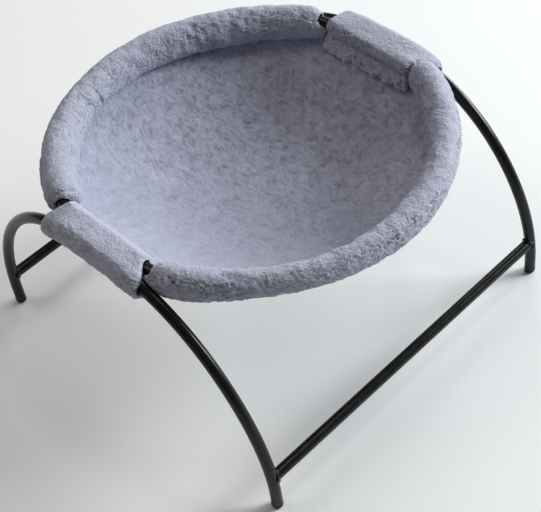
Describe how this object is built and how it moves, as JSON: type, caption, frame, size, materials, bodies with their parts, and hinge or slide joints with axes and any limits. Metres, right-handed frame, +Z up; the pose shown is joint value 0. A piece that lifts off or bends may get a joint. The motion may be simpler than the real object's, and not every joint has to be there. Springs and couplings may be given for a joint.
{
  "type": "cat hammock chair",
  "caption": "Round padded fleece hammock for a cat on a hoop, held between two curved tubular arches joined by low crossbars.",
  "frame": {"origin": "on the floor, under the middle of the hammock", "axes": "+Z up, +Y towards the rear, +X towards the right arch; each arch stands in a plane across X and the crossbars run along X"},
  "size_m": [0.431, 0.427, 0.2446],
  "materials": {
    "powder_coat": "black semi-gloss powder coat on steel tube",
    "foot_plastic": "black moulded plastic",
    "joiner_steel": "zinc plated",
    "curly_fleece": "grey curly fleece with a deep pile",
    "plush": "grey short plush",
    "woven_backing": "grey plain weave polyester",
    "wadding": "white polyester wadding",
    "hook_tape": "grey nylon hook tape",
    "loop_tape": "grey nylon loop tape"
  },
  "bodies": {
    "root": {"front_left_leg": "powder_coat", "front_right_leg": "powder_coat", "rear_left_leg": "powder_coat", "rear_right_leg": "powder_coat", "front_crossbar": "powder_coat", "rear_crossbar": "powder_coat", "front_hoop_half": "powder_coat", "rear_hoop_half": "powder_coat", "front_left_foot_plug": "foot_plastic", "front_right_foot_plug": "foot_plastic", "rear_left_foot_plug": "foot_plastic", "rear_right_foot_plug": "foot_plastic", "left_arch_joiner": "joiner_steel", "right_arch_joiner": "joiner_steel", "left_hoop_joiner": "joiner_steel", "right_hoop_joiner": "joiner_steel", "sling_lining": "plush", "sling_backing": "woven_backing", "front_rim_cover": "curly_fleece", "rear_rim_cover": "curly_fleece", "front_rim_wadding": "wadding", "rear_rim_wadding": "wadding", "left_wrap": "curly_fleece", "right_wrap": "curly_fleece", "left_hook_strip": "hook_tape", "right_hook_strip": "hook_tape", "left_loop_strip": "loop_tape", "right_loop_strip": "loop_tape"}
  },
  "joints": []
}
